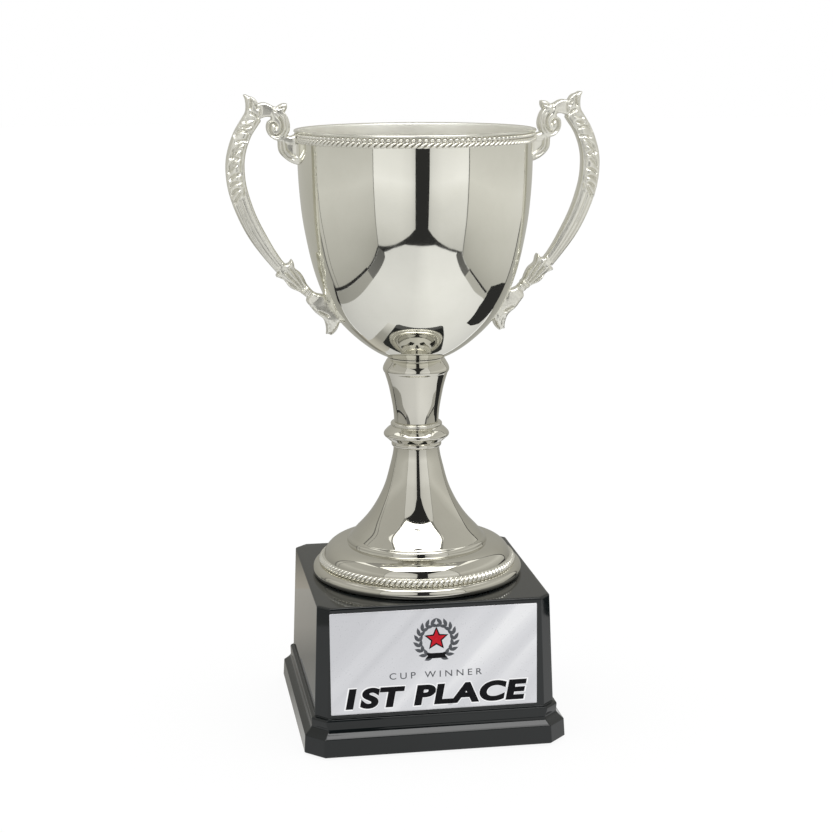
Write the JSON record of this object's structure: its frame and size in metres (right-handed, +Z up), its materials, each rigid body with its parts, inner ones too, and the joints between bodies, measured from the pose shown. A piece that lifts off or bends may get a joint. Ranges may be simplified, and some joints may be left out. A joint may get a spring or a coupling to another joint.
{
  "type": "two-handled cup trophy",
  "caption": "Tall two-handled metal cup with rope-edged rim, turned stem and round foot, clamped to a square weighted base with a front nameplate.",
  "frame": {"origin": "centre of the resting face, on the cup's axis", "axes": "+Z up along the cup's axis, -Y out of the nameplate, handles along +X and -X"},
  "size_m": [0.1908, 0.1338, 0.324],
  "materials": {
    "plated_cup": "bright nickel plate, mirror polished",
    "plated_trim": "bright nickel plate on rolled rope pattern",
    "plated_casting": "bright nickel plate on a polished casting",
    "fastener_steel": "zinc plated",
    "base_gloss_black": "glossy black moulded plastic",
    "weight_iron": "rough cast, unpainted",
    "hardboard": "smooth brown hardboard",
    "green_felt": "dense wool felt",
    "plate_aluminium": "satin silver with soft diagonal sheen",
    "adhesive_tape": "double-sided foam tape"
  },
  "bodies": {
    "root": {"cup_bowl": "plated_cup", "rim_rope_border": "plated_trim", "handle_left": "plated_casting", "handle_right": "plated_casting", "handle_screws": "fastener_steel", "handle_washers": "fastener_steel", "stem_vase": "plated_casting", "knop_ring": "plated_casting", "stem_foot": "plated_cup", "foot_rope_border": "plated_trim", "tie_rod": "fastener_steel", "acorn_nut": "fastener_steel", "bowl_washer": "fastener_steel", "base_washer": "fastener_steel", "lock_washer": "fastener_steel", "base_nut": "fastener_steel", "base_shell": "base_gloss_black", "base_weight": "weight_iron", "base_plate": "hardboard", "base_plate_screws": "fastener_steel", "base_felt": "green_felt", "nameplate": "plate_aluminium", "nameplate_tape": "adhesive_tape"}
  },
  "joints": []
}
